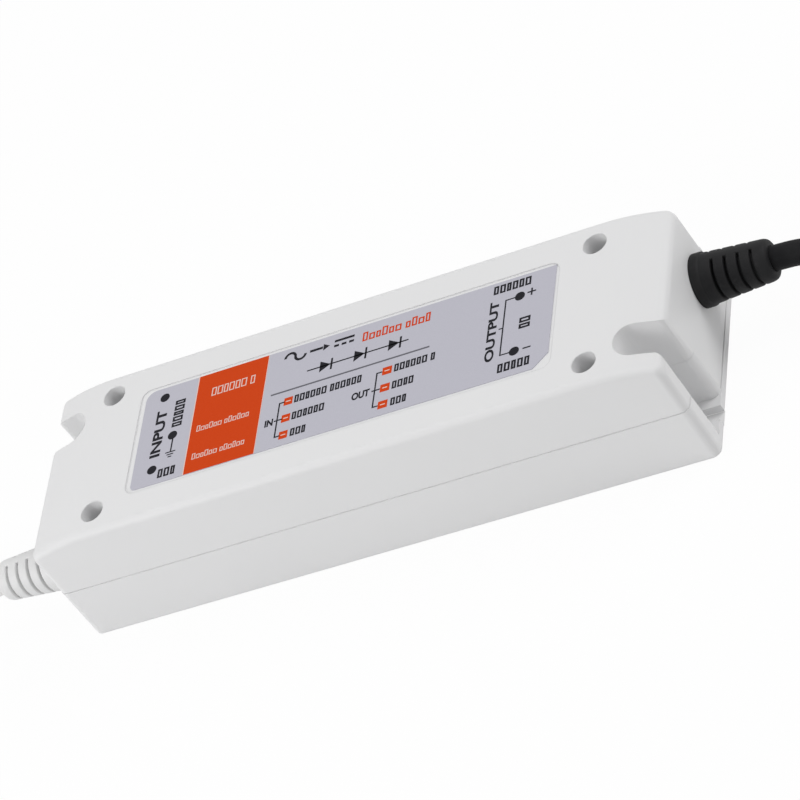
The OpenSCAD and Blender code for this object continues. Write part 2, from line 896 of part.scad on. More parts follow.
// Wire packed round two stretches of a ring core
module ring_windings(at, size) {
    on_board(at)
        for (a = [0, 180])
            rotate(a - winding_angle / 2)
                rotate_extrude(angle = winding_angle)
                    difference() {
                        ring_section(size, winding_thickness);
                        ring_section(size, 0);
                    }
    leads(ring_pins(at, size), winding_thickness / 2);
}

module choke_core() {
    color("darkolivegreen") ring_core(choke_at, choke_size);
}

module choke_windings() {
    color("peru") ring_windings(choke_at, choke_size);
}

module inductor_core() {
    color("khaki") ring_core(inductor_at, inductor_size);
}

module inductor_winding() {
    color("chocolate") ring_windings(inductor_at, inductor_size);
}

module bridge_rectifier() {
    half = bridge_size[1] / 2;
    color("dimgray") {
        on_board(bridge_at)
            translate([-bridge_size[0] / 2, 0, bridge_lift])
                rotate([90, 0, 90])
                    linear_extrude(bridge_size[0])
                        polygon([
                            [-half, 0], [half, 0], [half, bridge_size[2]],
                            [bridge_corner - half, bridge_size[2]],
                            [-half, bridge_size[2] - bridge_corner]
                        ]);
        leads(bridge_pins, bridge_lift + beyond);
    }
}

// Electrolytic can with a crimped groove above its foot
module can(diameter, height) {
    radius = diameter / 2;
    rotate_extrude()
        polygon([
            [0, 0], [radius, 0], [radius, can_foot],
            [radius - can_groove, can_foot + can_groove], [radius, can_foot + 2 * can_groove],
            [radius, height - can_edge], [radius - can_edge, height], [0, height]
        ]);
}

module bulk_capacitors() {
    color("midnightblue") {
        for (at = bulk_at)
            on_board(at) can(bulk_diameter, bulk_height);
        leads(bulk_pins, beyond);
    }
}

module output_capacitors() {
    color("darkslateblue") {
        for (at = smoothing_at)
            on_board(at) can(smoothing_diameter, smoothing_height);
        leads(smoothing_pins, beyond);
    }
}

// Height of the hole in a power package's tab
function tab_hole_height() = package_lift + tab_size[2] - tab_hole_drop;

module heatsink(at, feet) {
    difference() {
        on_board(at)
            translate([-heatsink_length / 2, -heatsink_thickness / 2, 0])
                cube([heatsink_length, heatsink_thickness, heatsink_height]);
        on_board(at)
            translate([0, 0, tab_hole_height()])
                rotate([90, 0, 0])
                    cylinder(
                        d = tab_screw_diameter + fit_gap, h = 2 * heatsink_thickness, center = true
                    );
    }
    leads(feet, beyond);
}

// Power package with its tab against the heatsink's pad; side says which face it is on
module power_package(at, side) {
    back = side * (heatsink_thickness / 2 + pad_thickness);
    difference() {
        on_board(at)
            translate([0, back, package_lift])
                mirror([0, side < 0 ? 1 : 0]) {
                    translate([-tab_size[0] / 2, 0, 0]) cube(tab_size);
                    translate([-package_size[0] / 2, 0, 0]) cube(package_size);
                }
        on_board(at)
            translate([0, back, tab_hole_height()])
                rotate([90, 0, 0])
                    cylinder(d = tab_screw_diameter + tab_clearance, h = 4 * tab_size[1], center = true);
    }
    leads(package_leads(at, side), package_lift + beyond);
}

module primary_heatsink() {
    color("silver") heatsink(primary_heatsink_at, primary_feet);
}

module secondary_heatsink() {
    color("silver") heatsink(secondary_heatsink_at, secondary_feet);
}

module switching_transistor() {
    color("darkgray") power_package(primary_heatsink_at, -1);
}

module output_rectifier() {
    color("darkgray") power_package(secondary_heatsink_at, 1);
}

module thermal_pad(at, side) {
    middle = side * (heatsink_thickness + pad_thickness) / 2;
    difference() {
        on_board(at)
            translate([-tab_size[0] / 2, middle - pad_thickness / 2, package_lift])
                cube([tab_size[0], pad_thickness, tab_size[2]]);
        on_board(at)
            translate([0, middle, tab_hole_height()])
                rotate([90, 0, 0])
                    cylinder(d = tab_screw_diameter + tab_clearance, h = beyond, center = true);
    }
}

module thermal_pads() {
    color("lightsteelblue") {
        thermal_pad(primary_heatsink_at, -1);
        thermal_pad(secondary_heatsink_at, 1);
    }
}

module tab_screw(at, side) {
    face = side * (heatsink_thickness / 2 + pad_thickness + tab_size[1]);
    on_board(at)
        translate([0, face, tab_hole_height()])
            rotate([-90 * side, 0, 0]) {
                cylinder(d = tab_screw_head[0], h = tab_screw_head[1]);
                translate([0, 0, -tab_size[1] - pad_thickness - heatsink_thickness])
                    cylinder(
                        d = tab_screw_diameter, h = tab_size[1] + pad_thickness + heatsink_thickness
                    );
            }
}

module heatsink_screws() {
    color("silver") {
        tab_screw(primary_heatsink_at, -1);
        tab_screw(secondary_heatsink_at, 1);
    }
}

// Sizes of the transformer around the middle of its core
transformer_window = transformer_side - 2 * transformer_yoke;
coil_half_height = transformer_thickness / 2 + bobbin_gap + bobbin_wall + coil_build;
coil_half_width = transformer_leg / 2 + bobbin_gap + bobbin_wall + coil_build;
transformer_middle = rail_lift + coil_half_height + bobbin_gap;

module at_transformer() {
    on_board(transformer_at) translate([0, 0, transformer_middle]) children();
}

// Block centred on the transformer's middle
module block(size) {
    cube(size, center = true);
}

// Two E halves that meet in the middle
module transformer_core() {
    side_leg_y = transformer_side / 2 - transformer_side_leg / 2;
    half = transformer_side / 2;
    color("dimgray")
        at_transformer()
            for (s = [-1, 1]) {
                translate([s * (half - transformer_yoke / 2), 0, 0])
                    block([transformer_yoke, transformer_side, transformer_thickness]);
                for (y = [-side_leg_y, 0, side_leg_y])
                    translate([s * (half + transformer_air_gap / 2) / 2, y, 0])
                        block([
                            half - transformer_air_gap / 2,
                            y == 0 ? transformer_leg : transformer_side_leg, transformer_thickness
                        ]);
            }
}

module transformer_bobbin() {
    tube_y = transformer_leg + 2 * (bobbin_gap + bobbin_wall);
    tube_z = transformer_thickness + 2 * (bobbin_gap + bobbin_wall);
    span = transformer_window - 2 * bobbin_gap;
    rail_width = transformer_yoke - bobbin_gap;
    rail_top = -transformer_thickness / 2 - bobbin_gap;
    rail_bottom = rail_lift - transformer_middle;
    color("black") {
        at_transformer()
            difference() {
                union() {
                    block([span, tube_y, tube_z]);
                    for (s = [-1, 1]) {
                        translate([s * (span - bobbin_wall) / 2, 0, 0])
                            block([bobbin_wall, 2 * coil_half_width, 2 * coil_half_height]);
                        translate([
                            s * (span / 2 - bobbin_wall + (rail_width + bobbin_wall) / 2), 0,
                            (rail_top + rail_bottom) / 2
                        ])
                            block([
                                rail_width + bobbin_wall, rail_pins * rail_pitch,
                                rail_top - rail_bottom
                            ]);
                    }
                }
                block([
                    transformer_side, transformer_leg + 2 * bobbin_gap,
                    transformer_thickness + 2 * bobbin_gap
                ]);
            }
        leads(rails(transformer_at), rail_lift + beyond);
    }
}

module transformer_winding() {
    span = transformer_window - 2 * (bobbin_gap + bobbin_wall);
    color("khaki")
        at_transformer()
            rotate([90, 0, 90])
                linear_extrude(span, center = true)
                    difference() {
                        round_rectangle(
                            2 * [coil_half_width - coil_recess, coil_half_height - coil_recess],
                            coil_corner
                        );
                        square(
                            [
                                transformer_leg + 2 * (bobbin_gap + bobbin_wall),
                                transformer_thickness + 2 * (bobbin_gap + bobbin_wall)
                            ],
                            center = true
                        );
                    }
}

// Chip with two rows of leads that stand beside its body
module dual_package(at, size, count) {
    on_board(at) {
        translate([-size[0] / 2, -size[1] / 2, dual_lift]) cube(size);
        for (p = row([0, 0], count, dual_pitch, [1, 0]))
            translate([p[0] - shoulder_width / 2, -dual_row / 2, dual_lift + size[2] / 2])
                cube([shoulder_width, dual_row, shoulder_thickness]);
    }
    leads(dual(at, count), dual_lift + size[2] / 2 + shoulder_thickness);
}

module controller_chip() {
    color("dimgray") dual_package(controller_at, chip_size, 4);
}

module optocoupler() {
    color("white") dual_package(optocoupler_at, optocoupler_size, 2);
}

top_cover();
base_tray();
rating_label();
cover_screws();
output_boot();
input_boot();
output_cord();
input_cord();
output_core_brown();
output_core_blue();
input_core_brown();
input_core_blue();
input_core_earth();
circuit_board();
input_leads();
output_leads();
fuse();
inrush_thermistor();
filter_capacitor();
choke_core();
choke_windings();
bridge_rectifier();
bulk_capacitors();
primary_heatsink();
switching_transistor();
transformer_core();
transformer_bobbin();
transformer_winding();
controller_chip();
optocoupler();
safety_capacitor();
secondary_heatsink();
output_rectifier();
thermal_pads();
heatsink_screws();
inductor_core();
inductor_winding();
output_capacitors();
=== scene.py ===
# %% [markdown]
# # Dressing an LED driver
# The object is a small mains power supply: a white moulded box in two halves, a printed label,
# a slotted strain relief and a lead at each end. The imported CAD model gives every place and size.
# This lesson adds what a solid can't carry: finishes, rounded shading, print, cords and light.

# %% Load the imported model
import math

import bmesh
import bpy
from mathutils import Matrix, Vector


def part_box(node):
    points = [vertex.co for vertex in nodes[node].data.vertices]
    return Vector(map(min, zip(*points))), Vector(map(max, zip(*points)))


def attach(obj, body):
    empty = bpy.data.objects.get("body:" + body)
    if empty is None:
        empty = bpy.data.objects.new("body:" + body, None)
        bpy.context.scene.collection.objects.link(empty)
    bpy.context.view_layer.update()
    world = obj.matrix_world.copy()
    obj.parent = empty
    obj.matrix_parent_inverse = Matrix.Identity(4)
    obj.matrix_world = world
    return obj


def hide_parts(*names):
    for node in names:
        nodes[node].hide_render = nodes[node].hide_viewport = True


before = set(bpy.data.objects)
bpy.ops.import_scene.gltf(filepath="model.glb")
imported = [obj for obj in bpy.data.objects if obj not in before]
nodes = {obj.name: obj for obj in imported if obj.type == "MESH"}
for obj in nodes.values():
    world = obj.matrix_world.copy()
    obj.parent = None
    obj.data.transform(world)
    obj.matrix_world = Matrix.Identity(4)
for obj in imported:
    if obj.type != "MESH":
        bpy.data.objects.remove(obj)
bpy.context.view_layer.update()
MM = 0.001

# %% [markdown]
# ## The camera
# The picture looks down on the front long side and the output end with a long lens, so parallel
# edges hardly converge, and the camera is rolled to let the body run uphill across the frame.
# A camera could be aimed with a constraint, but three plain turns keep the roll exact.

# %% Camera at the picture's viewing angle
camera_data = bpy.data.cameras.new("photo_camera")
camera_data.lens = 181.6
camera_data.clip_end = 20.0
camera = bpy.data.objects.new("photo_camera", camera_data)
bpy.context.scene.collection.objects.link(camera)
place = Matrix.Translation((0.4430, -0.6669, 0.6451))
around = Matrix.Rotation(math.radians(32.97), 4, "Z")
down = Matrix.Rotation(math.radians(51.92), 4, "X")
roll = Matrix.Rotation(math.radians(-38.79), 4, "Z")
camera.matrix_world = place @ around @ down @ roll
bpy.context.scene.camera = camera
print("camera at", [round(value, 3) for value in camera.location])

# %% [markdown]
# ## A small language for finishes
# A finish is a node tree. Linking nodes by hand hides what they work out, so one class wraps a
# socket and lets sums, products and comparisons add the Math nodes. Every other node comes from
# one method: its settings are set first, because some settings change its sockets.

# %% Wires that add up, and the tree that holds them
class Wire:
    """One output socket. Arithmetic on wires adds Math nodes to their tree."""

    def __init__(self, tree, socket):
        self.tree = tree
        self.socket = socket

    def math(self, operation, left, right):
        return self.tree.node("ShaderNodeMath", {"operation": operation}, {0: left, 1: right})

    def __add__(self, other):
        return self.math("ADD", self, other)

    def __radd__(self, other):
        return self.math("ADD", other, self)

    def __rsub__(self, other):
        return self.math("SUBTRACT", other, self)

    def __mul__(self, other):
        return self.math("MULTIPLY", self, other)

    def __rmul__(self, other):
        return self.math("MULTIPLY", other, self)

    def __gt__(self, other):
        return self.math("GREATER_THAN", self, other)

    def __lt__(self, other):
        return self.math("LESS_THAN", self, other)


class Tree:
    """A node tree that is filled by one method."""

    def __init__(self, tree):
        self.tree = tree
        self.tree.nodes.clear()

    def node(self, kind, settings=None, sockets=None, output=0):
        made = self.tree.nodes.new(kind)
        for key, value in (settings or {}).items():
            setattr(made, key, value)
        for key, value in (sockets or {}).items():
            if isinstance(value, Wire):
                self.tree.links.new(value.socket, made.inputs[key])
            else:
                made.inputs[key].default_value = value
        return Wire(self, made.outputs[output]) if made.outputs else None

    def place(self):
        return self.node("ShaderNodeTexCoord", output="Object")

    def noise(self, scale, detail=2.0, roughness=0.5):
        sockets = {"Scale": scale, "Detail": detail, "Roughness": roughness}
        sockets["Vector"] = self.place()
        return self.node("ShaderNodeTexNoise", None, sockets)

    def fade(self, factor, first, second):
        """Mix two colours; a plain colour is three numbers."""
        ends = [end if isinstance(end, Wire) else (*end, 1.0) for end in (first, second)]
        sockets = {0: factor, 6: ends[0], 7: ends[1]}
        return self.node("ShaderNodeMix", {"data_type": "RGBA"}, sockets, output=2)

    def bump(self, height, distance, strength=1.0, normal=None):
        sockets = {"Height": height, "Distance": distance, "Strength": strength}
        if normal:
            sockets["Normal"] = normal
        return self.node("ShaderNodeBump", None, sockets)

    def soft_edges(self, radius):
        return self.node("ShaderNodeBevel", {"samples": 6}, {"Radius": radius})


def new_finish(name):
    material = bpy.data.materials.new(f"{name}_finish")
    material.use_nodes = True
    return material, Tree(material.node_tree)


def principled(tree, **sockets):
    """Close a finish: a Principled shader with these sockets, and the output."""
    named = {key.replace("_", " "): value for key, value in sockets.items()}
    shader = tree.node("ShaderNodeBsdfPrincipled", None, named)
    tree.node("ShaderNodeOutputMaterial", None, {"Surface": shader})


print("node kit ready")

# %% [markdown]
# Shapes are worked out in a bmesh, which is free of any object. One function turns it into a piece
# that rides on the part. Smooth shading stops at edges sharper than the given angle.

# %% From a working mesh to a piece
def make_piece(name, work, finish, crisp_angle=None):
    if crisp_angle:
        for face in work.faces:
            face.smooth = True
            face.material_index = 0
    mesh = bpy.data.meshes.new(name)
    work.to_mesh(mesh)
    work.free()
    if crisp_angle:
        mesh.set_sharp_from_angle(angle=math.radians(crisp_angle))
    mesh.materials.append(finish)
    piece = bpy.data.objects.new(name, mesh)
    bpy.context.scene.collection.objects.link(piece)
    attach(piece, "root")
    print(name, len(mesh.polygons), "faces")
    return piece


print("piece maker ready")

# %% [markdown]
# ## Moulded white plastic
# The housing is injection-moulded from white plastic in a mould with a fine spark-eroded skin: an
# even satin, with grains of about a quarter of a millimetre and slow drifts of tone where the melt
# flowed. A roughness value alone looks like paint, so two noises drive tone, gloss and bump, and
# a Bevel node rounds the moulded edges in the shading, where a real tool has a small radius.

# %% Plastic finishes
def moulded_plastic(name, colour, edge_radius, grain=3600.0, gloss=0.42):
    material, tree = new_finish(name)
    drift = tree.noise(38.0, detail=3.0)
    fine = tree.noise(grain, detail=3.0, roughness=0.6)
    darker = [0.955 * part for part in colour]
    tone = tree.fade(0.25 + 0.5 * drift, darker, colour)
    satin = gloss + 0.10 * fine + 0.06 * drift
    rounded = tree.soft_edges(edge_radius)
    skin = tree.bump(fine, distance=0.000012, strength=0.6, normal=rounded)
    principled(tree, Base_Color=tone, Roughness=satin, Normal=skin)
    return material


housing_white = moulded_plastic("housing_white", (0.80, 0.80, 0.805), edge_radius=0.00035)
relief_white = moulded_plastic(
    "relief_white", (0.77, 0.77, 0.77), edge_radius=0.00025, grain=2600.0, gloss=0.46
)
print("plastics:", housing_white.name, relief_white.name)

# %% [markdown]
# ## Soft black and white lead plastics
# The strain relief and the sheath are soft PVC. It is never pure black: it scatters a little light
# and keeps faint rub marks, and its gloss is broken by a drawn, slightly wavy skin. The same
# recipe in other colours serves the thin insulation of the cores.

# %% Soft finishes
def soft_plastic(name, colour, edge_radius, gloss, grain=1500.0, shine=0.5):
    material, tree = new_finish(name)
    cloud = tree.noise(120.0, detail=4.0, roughness=0.6)
    skin_grain = tree.noise(grain, detail=3.0, roughness=0.65)
    paler = [part + 0.35 * (0.12 - part) if part < 0.12 else 0.94 * part for part in colour]
    rubbed = cloud * cloud * 0.6
    tone = tree.fade(rubbed, colour, paler)
    satin = gloss + 0.16 * cloud
    rounded = tree.soft_edges(edge_radius)
    skin = tree.bump(skin_grain, distance=0.00002, strength=0.7, normal=rounded)
    principled(tree, Base_Color=tone, Roughness=satin, Normal=skin, Specular_IOR_Level=shine)
    return material


relief_black = soft_plastic(
    "relief_black", (0.008, 0.008, 0.009), edge_radius=0.0003, gloss=0.52, shine=0.16
)
sheath_black = soft_plastic(
    "sheath_black", (0.006, 0.006, 0.007), edge_radius=0.0002, gloss=0.52, grain=900.0, shine=0.08
)
sheath_white = soft_plastic(
    "sheath_white", (0.78, 0.78, 0.77), edge_radius=0.0002, gloss=0.36, grain=900.0
)
core_brown = soft_plastic("core_brown", (0.13, 0.05, 0.022), edge_radius=0.0001, gloss=0.36)
core_blue = soft_plastic("core_blue", (0.02, 0.09, 0.42), edge_radius=0.0001, gloss=0.36)
print("soft plastics:", relief_black.name, sheath_black.name, core_brown.name)

# %% [markdown]
# The earth core is the one striped wire: a yellow band along green. The stripe runs round the
# core on a slow helix, so a wave across the wire's own place, bent by its length, is enough.

# %% Striped insulation for the earth core
core_earth, tree = new_finish("core_earth")
across = tree.node(
    "ShaderNodeTexWave", {"bands_direction": "DIAGONAL"},
    {"Vector": tree.place(), "Scale": 95.0, "Distortion": 1.5, "Detail": 1.0},
)
stripe = tree.fade(across > 0.55, (0.04, 0.27, 0.05), (0.72, 0.60, 0.03))
principled(tree, Base_Color=stripe, Roughness=0.36 + 0.1 * tree.noise(900.0))
print("striped:", core_earth.name)

# %% [markdown]
# ## The cords
# Each lead leaves its strain relief level, drops to the table in a long bend and lies in one loose
# curve, with its sheath cut back and the thin cores splayed for wiring. A swept mesh would do, but
# a curve with a round bevel keeps its own centre line, so its length can be measured. The route
# points are the ones that the solids follow, so the dressed cord lies where the model says.

# %% Routes in millimetres
sheath_route = [
    (84, 15.8, 16.2), (97, 15.8, 16.2), (111, 15.8, 16.2), (118.5, 15.8, 15.4),
    (127.5, 14.5, 13.2), (136, 11, 10.2), (143.5, 5.5, 7.1), (149, -2, 4.5),
    (155, -9.5, 3.4), (162.5, -15.5, 3.3), (171, -19, 3.3), (180.5, -20, 3.3),
    (189.5, -19, 3.3), (198.5, -15.5, 3.3), (206, -9.5, 3.3), (211.5, -2, 3.3),
]
core_routes = {
    "brown": [
        (210.6, -1, 2.6), (212.5, 2.5, 2.3), (214.5, 6.5, 1.8), (216, 11, 1.3),
        (217, 15.5, 1.1), (217.5, 20, 1.1), (217.5, 24.5, 1.1),
    ],
    "blue": [
        (212.8, -2.6, 2.6), (215, 1, 2.3), (217.5, 4.5, 1.8), (220.5, 8, 1.3),
        (224, 11, 1.1), (227.5, 13.5, 1.1), (231.5, 15.5, 1.1),
    ],
    "earth": [
        (211.6, -1.8, 4.6), (213.8, 2, 4.2), (216.2, 6, 3), (218.6, 10, 1.8),
        (221, 14, 1.2), (223.5, 18, 1.1), (226, 22, 1.1),
    ],
}
SHEATH_DIAMETER = 6.5
CORE_DIAMETER = 2.2
BARE_DIAMETER = 0.66 * CORE_DIAMETER
print("route points:", len(sheath_route))


# %% A round curve through a route
def turned(route):
    """The input end is the output end turned half round."""
    return [(-x, -y, z) for x, y, z in route]


def round_curve(name, route, diameter, material):
    curve = bpy.data.curves.new(name, "CURVE")
    curve.dimensions = "3D"
    curve.bevel_depth = diameter / 2 * MM
    curve.bevel_resolution = 6
    curve.resolution_u = 6
    curve.use_fill_caps = True
    spline = curve.splines.new("BEZIER")
    spline.bezier_points.add(len(route) - 1)
    for point, place in zip(spline.bezier_points, route):
        point.co = Vector(place) * MM
        point.handle_left_type = "AUTO"
        point.handle_right_type = "AUTO"
    curve.materials.append(material)
    piece = bpy.data.objects.new(name, curve)
    bpy.context.scene.collection.objects.link(piece)
    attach(piece, "root")
    return piece


def route_length(route):
    points = [Vector(place) * MM for place in route]
    return sum((b - a).length for a, b in zip(points, points[1:]))


print("sheath with its hidden start:", round(route_length(sheath_route), 4), "m")

# %% [markdown]
# The bare end of each core is a twist of tinned strands. Modelling seven strands for eight
# millimetres of wire would cost more than it shows, so one thinner rod gets a finish whose
# slanting waves stand for the strands.

# %% Tinned strands
tinned, tree = new_finish("tinned_strands")
twist = tree.node(
    "ShaderNodeTexWave", {"bands_direction": "DIAGONAL"},
    {"Vector": tree.place(), "Scale": 420.0, "Distortion": 0.6},
)
solder = tree.fade(tree.noise(700.0), (0.56, 0.56, 0.58), (0.76, 0.75, 0.73))
principled(
    tree, Base_Color=solder, Metallic=1.0, Roughness=0.28 + 0.2 * twist,
    Normal=tree.bump(twist, distance=0.00008),
)
print("tinned:", tinned.name)


# %% Cords with their splayed cores
def lead(end, route_of, sheath_finish, cores):
    """One lead: the sheath, its cores and their bare ends."""
    sheath = round_curve(f"{end}_sheath", route_of(sheath_route), SHEATH_DIAMETER, sheath_finish)
    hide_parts(f"{end}_cord")
    ends = []
    for colour, finish in cores.items():
        route = route_of(core_routes[colour])
        core = round_curve(f"{end}_{colour}_core", route[:-1], CORE_DIAMETER, finish)
        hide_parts(f"{end}_core_{colour}")
        bare = round_curve(f"{end}_{colour}_strands", route[-3:], BARE_DIAMETER, tinned)
        ends += [core, bare]
    print(end, "lead:", len(ends), "pieces on it")


lead("output", list, sheath_black, {"brown": core_brown, "blue": core_blue})
lead(
    "input", turned, sheath_white,
    {"brown": core_brown, "blue": core_blue, "earth": core_earth},
)

# %% [markdown]
# ## The two halves of the housing
# The solids hold the whole form: lofted rounds, notches, wells, pocket, slots. Their meshes are
# loose triangles with a flat look on every round. A welded copy, shaded smooth with its crisp
# edges marked and its normals weighted by area, keeps flat faces flat and lets rounds flow.
# Cutting real bevels into so many small faces would tear them, so the finish rounds the edges.
# The solids keep a working gap of a tenth of a millimetre. Screws pull the real halves together,
# so the copies settle on each other until only a hair's width is left at the seam.

# %% Welded, smooth copies that stand for the solids
SEAM_RIM = 17.1 * MM
RIM_DROP = 0.085 * MM
POST_SIDE = 25.6 * MM
POST_START = 88.0 * MM
POST_SHIFT = 0.12 * MM
ON_PLANE = 0.02 * MM


def settle(work, node):
    """Move the cover's rim down, and the base's corner posts in to the cover's end walls."""
    if node == "top_cover":
        rim = [vertex for vertex in work.verts if abs(vertex.co.z - SEAM_RIM) < ON_PLANE]
        bmesh.ops.translate(work, verts=rim, vec=(0, 0, -RIM_DROP))
        return
    for side in (-1, 1):
        post = [
            vertex for vertex in work.verts
            if side * vertex.co.x > POST_START
            and abs(side * vertex.co.y - POST_SIDE) < ON_PLANE
        ]
        bmesh.ops.translate(work, verts=post, vec=(0, -side * POST_SHIFT, 0))


def smooth_copy(node, finish):
    work = bmesh.new()
    work.from_mesh(nodes[node].data)
    bmesh.ops.remove_doubles(work, verts=work.verts, dist=1e-6)
    settle(work, node)
    bmesh.ops.dissolve_limit(
        work, angle_limit=math.radians(0.4), verts=work.verts, edges=work.edges
    )
    piece = make_piece(f"{node}_dressed", work, finish, crisp_angle=28.0)
    weighted = piece.modifiers.new("weighted_normals", "WEIGHTED_NORMAL")
    weighted.keep_sharp = True
    weighted.weight = 100
    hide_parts(node)


for node in ("top_cover", "base_tray"):
    smooth_copy(node, housing_white)

# %% [markdown]
# ## Strain reliefs
# A strain relief is a soft moulded sleeve: a flange that sits behind the wall, a neck through it, a
# collar outside and a cone with two rows of slots, set half a pitch apart, that let it bend. It is
# a turned form, so its outline is spun once. The slots are bands of faces pressed in towards the
# lead, and their rims get a real bevel, because the rounded ribs show in the outline.

# %% Outline of the sleeve, along its axis and away from it
SLEEVE_PLACE = (90.3, 15.8, 16.2)
SLEEVE_TURN = 78.0
SLEEVE_STEPS = 90
SLOT_COUNT = 8
SLOT_SWEEP = 152.0
SLOT_WIDTH = 0.8
SLOT_PITCH = 3.4
SLOT_FLOOR_RADIUS = 4.45
FIRST_SLOT = 3.9
RIM_ROUND = 0.3
BACK, WALL_BACK, TIP = -3.95, -1.95, 20.0
BORE, NECK, FLANGE, COLLAR = 3.3, 5.0, 6.5, 7.0
CONE_START, CONE_LENGTH = 2.6, 16.4
CONE_RADIUS, CONE_TAPER = 6.6, 1.2


def cone_radius(along):
    """The cone narrows evenly from behind the collar to the tip."""
    return CONE_RADIUS - CONE_TAPER * (along - CONE_START) / CONE_LENGTH


slot_starts = [FIRST_SLOT + step * SLOT_PITCH / 2 for step in range(SLOT_COUNT)]
outline = [
    (BACK, BORE), (BACK, FLANGE), (WALL_BACK, FLANGE), (WALL_BACK, NECK), (0.0, NECK),
    (0.0, 6.9), (0.1, COLLAR), (2.0, COLLAR), (2.3, 6.93), (2.5, 6.8), (CONE_START, 6.62),
    (3.2, cone_radius(3.2)),
]
for start in slot_starts:
    outline += [(along, cone_radius(along)) for along in (start, start + SLOT_WIDTH)]
outline += [
    (18.2, cone_radius(18.2)), (18.8, 5.36), (19.3, 5.18), (19.65, 4.92), (19.9, 4.55),
    (TIP, 4.1), (TIP, BORE), (BACK, BORE),
]
print("outline points:", len(outline))


# %% Spin, press the slots, round their rims
def in_slot(face):
    """The number of the slot that a face of the cone lies in. Every second one opens opposite."""
    middle = face.calc_center_median()
    off_cone = abs(math.hypot(middle.y, middle.z) - cone_radius(middle.x))
    if off_cone > 0.1:
        return None
    angle = math.degrees(math.atan2(middle.y, -middle.z))
    for count, start in enumerate(slot_starts):
        centre = SLEEVE_TURN + 180.0 * (count % 2)
        apart = abs((angle - centre + 180.0) % 360.0 - 180.0)
        if start < middle.x < start + SLOT_WIDTH and apart < SLOT_SWEEP / 2:
            return count
    return None


def sleeve(work):
    first = math.radians(SLEEVE_TURN - SLOT_SWEEP / 2)
    line = [work.verts.new((x, r * math.sin(first), -r * math.cos(first))) for x, r in outline]
    edges = [work.edges.new(pair) for pair in zip(line, line[1:])]
    bmesh.ops.spin(
        work, geom=line + edges, cent=(0, 0, 0), axis=(1, 0, 0), angle=math.tau,
        steps=SLEEVE_STEPS, use_merge=True,
    )
    bmesh.ops.remove_doubles(work, verts=work.verts, dist=1e-4)
    bmesh.ops.recalc_face_normals(work, faces=work.faces)
    rims = []
    for count, start in enumerate(slot_starts):
        band = [face for face in work.faces if in_slot(face) == count]
        rims += [
            edge for face in band for edge in face.edges
            if sum(other in band for other in edge.link_faces) == 1
        ]
        pressed = bmesh.ops.extrude_face_region(work, geom=band)
        left_over = [face for face in band if face.is_valid]
        bmesh.ops.delete(work, geom=left_over, context="FACES_ONLY")
        deep = [item for item in pressed["geom"] if isinstance(item, bmesh.types.BMVert)]
        inward = SLOT_FLOOR_RADIUS / cone_radius(start + SLOT_WIDTH / 2)
        bmesh.ops.scale(work, verts=deep, vec=(1, inward, inward))
    bmesh.ops.bevel(
        work, geom=rims, offset=RIM_ROUND, offset_type="OFFSET", affect="EDGES",
        segments=3, profile=0.5, material=-1, clamp_overlap=True,
    )


print("slots start at", slot_starts)


# %% One sleeve at each end
def strain_relief(node, finish, side):
    """The input end's sleeve is the output end's, mirrored along the housing."""
    x, y, z = SLEEVE_PLACE
    work = bmesh.new()
    sleeve(work)
    bmesh.ops.scale(work, verts=work.verts, vec=(side, 1, 1))
    bmesh.ops.translate(work, verts=work.verts, vec=(side * x, side * y, z))
    bmesh.ops.scale(work, verts=work.verts, vec=(MM, MM, MM))
    bmesh.ops.recalc_face_normals(work, faces=work.faces)
    piece = make_piece(f"{node}_turned", work, finish, crisp_angle=40.0)
    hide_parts(node)


strain_relief("output_boot", relief_black, 1)
strain_relief("input_boot", relief_white, -1)

# %% [markdown]
# ## The label's film
# The label is a silvery lilac film behind the print, as on polyester labels: a weak metallic
# sparkle under a clear, slightly orange-peeled coat. The sparkle is a fine noise in tone and gloss.

# %% Film finish and the label itself
label_film, tree = new_finish("label_film")
sparkle = tree.noise(5200.0, detail=2.0, roughness=0.7)
peel = tree.noise(900.0, detail=2.0)
film = tree.fade(sparkle, (0.43, 0.425, 0.49), (0.525, 0.52, 0.585))
principled(
    tree, Base_Color=film, Roughness=0.34 + 0.12 * sparkle, Coat_Weight=0.25,
    Normal=tree.bump(peel, distance=0.00001, strength=0.5),
)
nodes["rating_label"].data.materials.clear()
nodes["rating_label"].data.materials.append(label_film)
label_low, label_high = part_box("rating_label")
label_top = label_high.z
print("label's top face at", round(label_top / MM, 3), "mm")

# %% [markdown]
# ## Print on the label
# Screen print is a layer of ink a few hundredths of a millimetre thick. Each colour is one thin
# mesh, because a print screen carries one ink. Only signs that any power supply may carry are
# drawn: which end is input and output, polarity, earth, and symbols for current. Lines of small
# print are rows of hollow letter-high boxes, so nothing can be read in them.

# %% Ink finishes
def ink(name, colour, lighter):
    material, tree = new_finish(name)
    screen = tree.noise(2600.0, detail=3.0, roughness=0.7)
    tone = tree.fade(screen, colour, lighter)
    principled(
        tree, Base_Color=tone, Roughness=0.46 + 0.16 * screen, Specular_IOR_Level=0.06,
        Normal=tree.bump(screen, distance=0.000008, strength=0.5),
    )
    return material


ink_black = ink("ink_black", (0.008, 0.008, 0.011), (0.022, 0.022, 0.027))
ink_orange = ink("ink_orange", (0.58, 0.045, 0.004), (0.66, 0.071, 0.010))
ink_grey = ink("ink_grey", (0.11, 0.11, 0.13), (0.17, 0.17, 0.19))
ink_pale = ink("ink_pale", (0.70, 0.50, 0.44), (0.82, 0.66, 0.60))
print("inks:", ink_black.name, ink_orange.name, ink_grey.name, ink_pale.name)

# %% Strokes: bars, dots and arcs
INK_THICKNESS = 0.03
INK_SINK = 0.006
LAYER_RISE = 0.6 * INK_THICKNESS
ink_level = label_top / MM - INK_SINK


